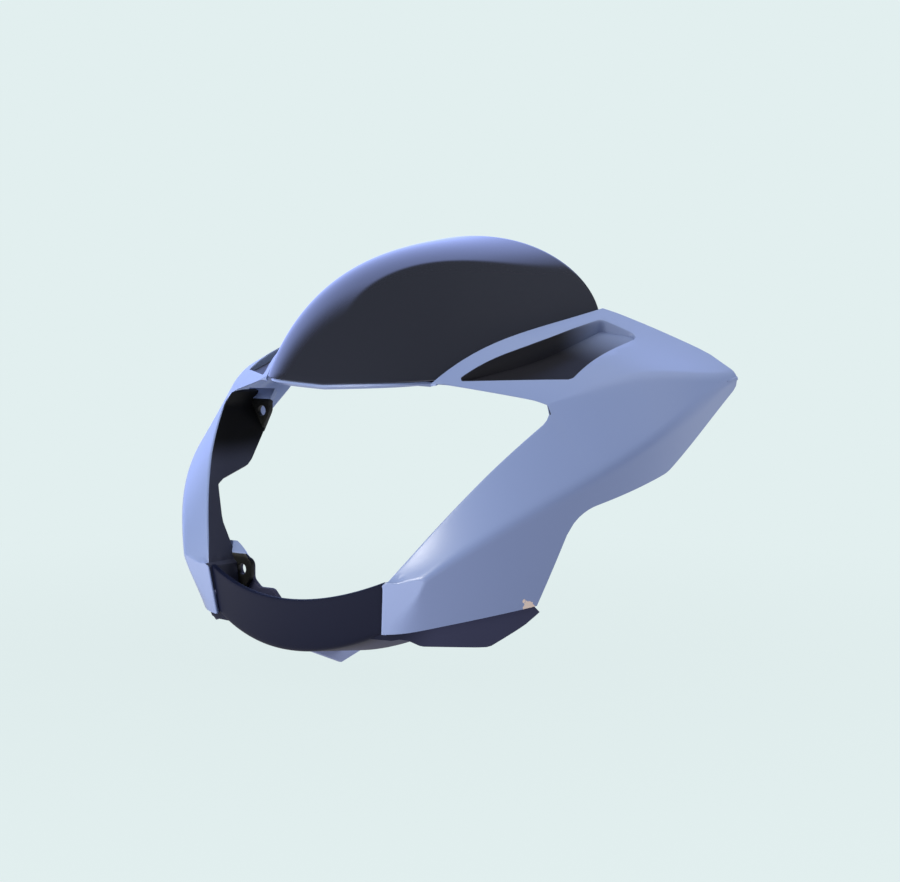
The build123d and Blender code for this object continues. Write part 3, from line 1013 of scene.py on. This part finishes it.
def shell_sheet():
    """Outside of the shell: side panels, cheeks, brows, front facets and return flanges."""
    sheet = Sheet()
    lower = rows_of(lambda y: panel_ends(y)[:2], PANEL_ROWS)
    lower += rows_of(lambda y: panel_ends(y)[1:], SOFT_ROWS, 1)
    fronts = lower + rows_of(cheek_ends, PANEL_ROWS, 1)
    marks = (BELLY_REAR[0], APEX.y, FRONT_BLEND_Y, REAR_BLEND_Y)
    places = spread(front_of(fronts[-1]), WING_TIP[0], marks)
    corners = [row(front_of(row)) for row in fronts]

    def below(z):
        point = on_facet(seam_x(z), z)
        return z - along(BELLY, point.y, 0, 1)
    bottom_z = solve(below, CHIN_FOOT_Z, CHIN_SEAM_TOP[1])
    inner = facet_left(bottom_z, corners[-1].z, len(lower))
    inner[-1] = corners[-1]
    fillet = facet_fillet(fronts, corners, inner[0])
    skin = [stretched(row, places, ends[-1].y) for row, ends in zip(fronts, fillet)]
    sheet.grid(skin)
    sheet.grid(fillet)

    split = next(i for i, y in enumerate(places) if abs(y - APEX.y) < CLOSE)
    rear = places[split:]
    upper = rows_of(brow_ends, SOFT_ROWS)
    upper += rows_of(lambda y: (brow_ends(y)[2], seam(y)), PANEL_ROWS, 1)
    brows = [stretched(row, rear, rear[0]) for row in upper]
    brows[0] = skin[-1][split:]
    sheet.grid(brows[:SOFT_ROWS + 1])

    tip_places = spread(SEAM_START_Y, APEX.y)
    tops = [(rim_ends(RIM_TOP, y, seam(y)), seam(y)) for y in tip_places]
    tongue = [[lerp(ends[0], high, t) for ends, high in tops] for t in steps(PANEL_ROWS)]
    fill_brow(sheet, tongue, brows[SOFT_ROWS:])
    add_scoop(sheet)
    lip = [[bezier(ends, t) for ends, _ in tops] for t in steps(SOFT_ROWS)]
    sheet.grid(lip)

    side_top = skin[-1][:split + 1]
    sides = [rim_ends(RIM_SIDE, p.y, panel_ends(p.y)[3]) for p in side_top]
    side_lip = [side_top] + [[bezier(ends, t) for ends in sides] for t in steps(SOFT_ROWS, 1)]
    sheet.grid(side_lip)

    inner_lip = []
    for p in inner:
        soft = RIM_SOFT * min(1, (p - inner[-1]).length / LIP_FADE)
        sideways = on_facet(p.x + 1, p.z) - p
        ends = (p + sideways.normalized() * soft, p, p + Vector((0, soft, 0)))
        inner_lip.append(soft_bend(ends))
    sheet.grid(inner_lip)
    right = [ends[0] for ends in fillet[:len(lower)]]
    top = [ends[0] for ends in fillet[len(lower) - 1:]]
    sheet.grid(facet_grid(right, top, [ends[0] for ends in inner_lip]))

    edge = [p for p in lip[-1] if p.x > FLANGE_TOP_X]
    edge += side_lip[-1][::-1][1:]
    edge += [ends[-1] for ends in reversed(inner_lip) if ends[-1].z > FLANGE_EDGE[-1][1]][1:]
    sheet.grid(flange_rows(edge), 1)
    sheet.add_mirrored()
    return sheet


def make_shell():
    """Painted shell of even wall with soft creases, rims and scoops."""
    shell = shell_sheet().to_object("cowl_shell_skin", [paint, dark_inside, scoop_black])
    tip = [crease(lerp(WING_HEEL[0] + HEEL_R, WING_TIP[0], t)) for t in steps(TIP_MARKS)]
    add_wall(shell, SHELL_WALL, rim_points + scoop_ring(0) + tip)
    return bake(shell)


def dome_point(y, share, half_width, base, crown):
    """Point on an arch, from its foot at zero to its crown at one."""
    shoulder, rise = DOME_SHOULDER
    curve = [(half_width, base), (shoulder * half_width, base + rise * (crown - base)),
             (DOME_TOP_REACH * half_width, crown), (0, crown)]
    x, z = bezier([Vector(p) for p in curve], share)
    return Vector((x, y, z))


def visor_point(y, share, depth=0):
    """Point on the visor's arch, or on its underside at a depth."""
    wide = rail(SEAM_X, y) - FIT_GAP - depth
    base = rail(SEAM_Z, y) - SEAT_DROP + FIT_GAP
    return dome_point(y, share, wide, base, rail(CROWN_Z, y) - depth)


def roof_point(y, share):
    """Point on the shell's ledge below the visor."""
    wide = rail(SEAM_X, y) - VISOR_WALL - 2 * FIT_GAP
    return dome_point(y, share, wide, rail(SEAM_Z, y) - SEAT_DROP, rail(CROWN_Z, y) - VISOR_WALL - FIT_GAP)


def from_lip(point_at, rise, rear_y, count):
    """Points along an arch, from a rise above the lamp opening's upper edge to a rear end."""
    def above(y):
        point = point_at(y)
        return point.z - opening_top_z(point.x) - rise
    first = solve(above, ARCH_FRONT_Y, 0)
    return [point_at(lerp(first, rear_y, t)) for t in steps(count)]


def ledge_inner_x(y):
    """Inner edge of the ledge under the visor."""
    rails = [(place, x - LEDGE_WIDTH) for place, x in zip(STATION_Y, SEAM_X)]
    return along([(FRONT_LEDGE_Y, SEAM_X[1] - LEDGE_WIDTH), *rails[2:]], y, 0, 1)


def ledge_sheet():
    """Ledge that carries the visor along its sides and front, with a painted front rim."""
    def reach(y):
        return solve(lambda share: ledge_inner_x(y) - roof_point(y, share).x, 0, 1)

    def outer_lip(y):
        return seam(y) + Vector((LIP_OUT, 0, -SEAT_DROP))
    side = spread(FRONT_LEDGE_Y, VISOR_REAR_Y)
    rows = [[outer_lip(y) for y in side]]
    for share in steps(LEDGE_ROWS):
        rows.append([roof_point(y, share * reach(y)) for y in side])
    sheet = Sheet(rows)
    shares = [reach(FRONT_LEDGE_Y) * t for t in steps(LEDGE_ROWS)]
    shares += [lerp(shares[-1], 1, t) for t in steps(PANEL_ROWS, 1)]
    front = [from_lip(outer_lip, SHELL_WALL, FRONT_LEDGE_Y, PANEL_ROWS)]
    for share in shares:
        front.append(from_lip(lambda y: roof_point(y, share), 0, FRONT_LEDGE_Y, PANEL_ROWS))
    sheet.grid([row[:2] for row in front], 1)
    sheet.grid([row[1:] for row in front])
    sheet.add_mirrored()
    return sheet


def visor_underside(x, y):
    """Height of the visor's underside above a place in plan."""
    share = solve(lambda t: abs(x) - visor_point(y, t, VISOR_WALL).x, 0, 1)
    return visor_point(y, share, VISOR_WALL).z


def seat_height(x, y):
    """Height of a visor boss's foot below the underside of the visor."""
    return visor_underside(x, y) - BOSS_DROP


def ring_at(x, y, z, radius):
    """Level ring of points round an upright axis."""
    points = [Vector((u, v, z)) for u, v in circle(x, y, radius)]
    return points + points[:1]


def under_visor(ring, shift):
    """Ring of points moved up to the visor's underside, with a shift."""
    return [Vector((p.x, p.y, visor_underside(p.x, p.y) + shift)) for p in ring]


def make_ledge():
    """Ledge under the visor with the wells that its bosses stand in."""
    ledge = ledge_sheet().to_object("visor_ledge", [dark_inside, paint])
    add_wall(ledge, SHELL_WALL)
    bake(ledge)
    wells = Sheet()
    inner, outer = BOSS_R + FIT_GAP, BOSS_R + FIT_GAP + WELL_WALL
    for x, y in BOSS_PLACES:
        seat = seat_height(x, y)
        hole, floor, wall = [ring_at(x, y, seat, radius) for radius in (SCREW_R, inner, outer)]
        feet = [ring_at(x, y, seat - WELL_WALL, radius) for radius in (SCREW_R, outer)]
        tops = [under_visor(ring, -WELL_GAP) for ring in (wall, floor)]
        wells.grid([hole, *feet, *tops, floor, hole])
    wells.add_mirrored()
    return [ledge, bake(wells.to_object("visor_wells", [dark_inside]))]


def tab_sheet(outline, bolt, web_setback):
    """Face of a lamp tab that bends back into its sloping web, which ends in a curve."""
    top = outline[0][1]
    right, bottom = outline[-1]
    bend = filleted(((0, bottom), (0, top), (WEB_RISE, top + WEB_RISE)), (2 * TAB_WALL,))
    rows = []
    for y, z, _ in subdivided([Vector((*p, 0)) for p in bend], FINE_STEP):
        edge = along(outline[:-1][::-1], z, 1, 0)
        edge += web_setback * max(0, (z - top) / WEB_RISE) ** WEB_CURVE
        rows.append([Vector((lerp(edge, right, t), bolt[1] + y, z)) for t in steps(PANEL_ROWS)])
    split = next(i for i, row in enumerate(rows) if row[0].z > top)
    sheet = Sheet(rows[:split + 1])
    sheet.grid(rows[split:], 1)
    return sheet


def bolt_cutter(bolt, side):
    """Round bar along a lamp bolt's axis."""
    x, y, z = bolt
    ends = []
    for reach in (-CUTTER_REACH, CUTTER_REACH):
        ends.append([Vector((u, y + reach, v)) for u, v in circle(side * x, z, BOLT_HOLE_R)])
    sheet = Sheet([end + end[:1] for end in ends])
    for end in ends:
        sheet.face(end)
    return sheet.to_object("bolt cutter", [])


def make_tabs():
    """Lamp tabs with their webs and bolt holes."""
    tabs = []
    for name, *values in (("upper_lamp_tabs", UPPER_TAB, UPPER_BOLT, UPPER_WEB_SETBACK),
                          ("lower_lamp_tabs", LOWER_TAB, LOWER_BOLT, LOWER_WEB_SETBACK)):
        sheet = tab_sheet(*values)
        sheet.add_mirrored()
        tab = sheet.to_object(name, [tab_black, paint])
        aim_faces(tab, (0, -1, 0))
        add_wall(tab, TAB_WALL)
        cutters = [bolt_cutter(values[1], side) for side in (1, -1)]
        for cutter in cutters:
            cut_out(tab, cutter)
        break_edges(tab)
        tabs.append(bake(tab))
        for cutter in cutters:
            bpy.data.meshes.remove(cutter.data)
    return tabs


def make_visor():
    """Dark dome with its front lip and its bosses."""
    shares = steps(ARCH_ROWS)
    rows = []
    for side, share in [(1, t) for t in shares] + [(-1, t) for t in reversed(shares[:-1])]:
        row = from_lip(lambda y: visor_point(y, share), VISOR_LIP_RISE, VISOR_REAR_Y, ARCH_COLUMNS)
        rows.append([Vector((side * p.x, p.y, p.z)) for p in row])
    dome = Sheet(rows).to_object("visor_dome", [smoke])
    aim_faces(dome, (0, -0.2, 1))
    add_wall(dome, VISOR_WALL)
    break_edges(dome)
    bake(dome)
    bosses = Sheet()
    for x, y in BOSS_PLACES:
        seat = seat_height(x, y)
        foot = ring_at(x, y, seat, BOSS_R)
        hole = [ring_at(x, y, seat + rise, SCREW_R) for rise in (SCREW_BITE, 0)]
        bosses.grid([*hole, foot, under_visor(foot, BOSS_ROOT)])
    bosses.add_mirrored()
    return [dome, bake(bosses.to_object("visor_bosses", [smoke]))]


def screw_tree():
    """Node tree that sets a socket screw on each point, the head below it and the shank above."""
    tree = bpy.data.node_groups.new("socket screws", "GeometryNodeTree")
    for name, way, kind in (("Geometry", "INPUT", "Geometry"), ("Head radius", "INPUT", "Float"),
                            ("Head height", "INPUT", "Float"), ("Shank radius", "INPUT", "Float"),
                            ("Shank length", "INPUT", "Float"), ("Material", "INPUT", "Material"),
                            ("Geometry", "OUTPUT", "Geometry")):
        tree.interface.new_socket(name, in_out=way, socket_type="NodeSocket" + kind)
    inputs = add_node(tree, "NodeGroupInput").outputs

    def bar(sides, radius, length, shift):
        middle = add_node(tree, "ShaderNodeMath", {1: shift}, {0: inputs[length]}, operation="MULTIPLY")
        lift = add_node(tree, "ShaderNodeCombineXYZ", links={"Z": middle.outputs[0]})
        round_bar = add_node(tree, "GeometryNodeMeshCylinder", {"Vertices": sides},
                             {"Radius": inputs[radius], "Depth": inputs[length]})
        moved = add_node(tree, "GeometryNodeTransform",
                         links={"Geometry": round_bar.outputs["Mesh"], "Translation": lift.outputs[0]})
        return moved.outputs[0]
    head = bar(CIRCLE_STEPS, "Head radius", "Head height", -0.5)
    socket = bar(SOCKET_SIDES, "Shank radius", "Head height", -1)
    shank = bar(SHANK_SIDES, "Shank radius", "Shank length", 0.5)
    cut = add_node(tree, "GeometryNodeMeshBoolean", links={"Mesh 1": head, "Mesh 2": socket},
                   operation="DIFFERENCE", solver="EXACT")
    screw = add_node(tree, "GeometryNodeJoinGeometry", links={0: cut.outputs["Mesh"]})
    tree.links.new(shank, screw.inputs[0])
    screws = add_node(tree, "GeometryNodeInstanceOnPoints",
                      links={"Points": inputs["Geometry"], "Instance": screw.outputs[0]})
    real = add_node(tree, "GeometryNodeRealizeInstances", links={0: screws.outputs[0]})
    look = add_node(tree, "GeometryNodeSetMaterial",
                    links={0: real.outputs[0], "Material": inputs["Material"]})
    add_node(tree, "NodeGroupOutput", links={0: look.outputs[0]})
    return tree


def make_screws():
    """Four screws up through the wells into the visor's bosses."""
    places = [(side * x, y, seat_height(x, y) - WELL_WALL) for x, y in BOSS_PLACES for side in (1, -1)]
    mesh = bpy.data.meshes.new("visor_screw_set")
    mesh.from_pydata([Vector(p) * MM for p in places], [], [])
    thing = in_scene("visor_screw_set", mesh)
    modifier = add_modifier(thing, "NODES", node_group=screw_tree())
    values = {"Head radius": SCREW_HEAD_R * MM, "Head height": SCREW_HEAD * MM, "Shank radius": SCREW_R * MM,
              "Shank length": (WELL_WALL + SCREW_BITE) * MM, "Material": steel}
    for item in modifier.node_group.interface.items_tree:
        if item.in_out == "INPUT" and item.name in values:
            modifier[item.identifier] = values[item.name]
    return bake(thing)


def chin_point(x, way):
    """Point on the chin band: down its face to one, round its edge to two, along the lip to three."""
    share = (x / CHIN_SEAM_TOP[0]) ** 2
    top = Vector((x, CHIN_FRONT_Y + CHIN_SWEEP * share, CHIN_TOP_Z + CHIN_TOP_SMILE * share))
    foot = Vector((x, top.y + CHIN_SETBACK, CHIN_FOOT_Z + CHIN_FOOT_SMILE * share))
    rear = foot + Vector((0, CHIN_FLOOR, -CHIN_FLOOR_FALL))
    low, high = lerp(foot, top, CHIN_EDGE[0]), lerp(foot, rear, CHIN_EDGE[1])
    if way <= 1:
        return lerp(top, low, way)
    if way <= 2:
        return bezier((low, foot, high), way - 1)
    return lerp(high, rear, way - 2)


def chin_band_sheet():
    """Front band of the chin cover and the lip of its floor, drawn out to the seams."""
    ways = steps(PANEL_ROWS) + [1 + t for t in steps(SOFT_ROWS, 1)] + [2 + t for t in steps(FLOOR_ROWS, 1)]
    rows = []
    for way in ways:
        row = []
        for across in [2 * t - 1 for t in steps(BAND_COLUMNS)]:
            x = across * (seam_x(CHIN_SEAM_TOP[1]) - FIT_GAP)
            for _ in range(SEAM_TRIES):
                x = across * (seam_x(chin_point(x, way).z) - FIT_GAP)
            row.append(chin_point(x, way))
        rows.append(row)
    return Sheet(rows)


def inset_panel(y, z, depth):
    """Point inside the side panel at a depth below its skin."""
    here = side_panel(y, z)
    normal = (side_panel(y + 1, z) - here).cross(side_panel(y, z + 1) - here)
    return here - normal.normalized() * depth


def inset_facet(x, z, depth):
    """Point behind the front facet at a depth."""
    here = on_facet(x, z)
    return here + Vector((0, depth / -facet_normal().y, 0))


def skirt_sheet():
    """Skirt that hangs below the side panel and runs round behind the front facet."""
    depth = SHELL_WALL + FIT_GAP
    *edge, heel = SKIRT_EDGE
    low_edge = filleted(edge, SKIRT_RADII)
    level = edge[2][1]

    def height(y, up):
        top = along(BELLY, y, 0, 1) + SKIRT_TUCK if y < heel[0] else along((heel, edge[-1]), y, 0, 1)
        return lerp(along(low_edge, y, 0, 1), top, up)

    def corner_y(z):
        return solve(lambda y: behind_facet(inset_panel(y, z, depth)) - depth, STATION_Y[0], FRONT_BLEND_Y)
    corner = inset_panel(corner_y(level), level, depth)
    front = [lerp(TONGUE_X, corner.x, t) for t in steps(SKIRT_ROWS)][:-1]
    rows = []
    for up in steps(SKIRT_ROWS):
        row = []
        for x in front:
            y = inset_facet(x, level, depth).y
            row.append(inset_facet(x, height(y, up), depth))
        for t in steps(SKIRT_COLUMNS):
            y = lerp(corner.y, edge[-1][0], t)
            z = height(y, up)
            row.append(inset_panel(corner_y(z) if t == 0 else y, z, depth))
        rows.append(row)
    sheet = Sheet(rows)
    sheet.add_mirrored()
    return sheet


def plate(name, outline, place, thickness, axis, material, holes=()):
    """Flat plate with soft edges, standing across one of the cowl's axes."""
    curve = bpy.data.curves.new(name, "CURVE")
    curve.dimensions = "2D"
    curve.fill_mode = "BOTH"
    curve.extrude = (thickness / 2 - EDGE_SOFT) * MM
    curve.bevel_depth = EDGE_SOFT * MM
    curve.bevel_resolution = 1
    curve.offset = -EDGE_SOFT * MM
    for ring in (outline, *holes):
        spline = curve.splines.new("POLY")
        spline.points.add(len(ring) - 1)
        for point, (u, v) in zip(spline.points, ring):
            point.co = (u * MM, v * MM, 0, 1)
        spline.use_cyclic_u = True
    source = in_scene(name, curve)
    mesh = bpy.data.meshes.new_from_object(source.evaluated_get(bpy.context.evaluated_depsgraph_get()))
    bpy.data.objects.remove(source)
    bpy.data.curves.remove(curve)
    if axis == "Y":
        turn = Matrix(((1, 0, 0, 0), (0, 0, -1, place * MM), (0, 1, 0, 0), (0, 0, 0, 1)))
    else:
        turn = Matrix(((0, 0, 1, place * MM), (1, 0, 0, 0), (0, 1, 0, 0), (0, 0, 0, 1)))
    mesh.transform(turn)
    mesh.materials.append(material)
    return bake(in_scene(name, mesh))


def make_chin():
    """Black lower cover: band, lip, skirts, ears and fin."""
    band = chin_band_sheet().to_object("chin_band", [black])
    aim_faces(band, (0, -1, -1))
    pieces = [band, skirt_sheet().to_object("chin_skirts", [black])]
    for thing in pieces:
        add_wall(thing, COVER_WALL)
        break_edges(thing)
        bake(thing)
    middle = LOWER_BOLT[1] + TAB_WALL + COVER_WALL / 2
    shape = filleted((*EAR, EAR[0]), EAR_RADII)[:-1]
    for side, name in ((1, "chin_ear_right"), (-1, "chin_ear_left")):
        outline = [(side * x, z) for x, z in shape]
        hole = circle(side * LOWER_BOLT[0], LOWER_BOLT[2], EAR_HOLE_R)
        pieces.append(plate(name, outline, middle, COVER_WALL, "Y", black, (hole,)))
    # The fin's pale blue is a painted bluish sheen
    pieces.append(plate("chin_fin", FIN, 0, FIN_WALL, "X", fin_sheen_blue))
    return pieces


bpy.context.scene.view_settings.view_transform = "Standard"

paint = painted_plastic()
dark_inside = bare_inside()
scoop_black = scoop_fade()
tab_black = matt_black()
fin_sheen_blue = fin_painted_sheen()
smoke = gloss_visor()
black = black_cover()
steel = plated_steel()
for name, material in (("cowl_shell", paint), ("visor", smoke), ("visor_screws", steel),
                       ("chin_cover", black)):
    node = nodes[name]
    node.data.materials.clear()
    node.data.materials.append(material)

for piece in (make_shell(), *make_ledge(), *make_tabs()):
    put_on(piece, "cowl_shell")
for piece in make_visor():
    put_on(piece, "visor")
put_on(make_screws(), "visor_screws")
for piece in make_chin():
    put_on(piece, "chin_cover")

make_stage()
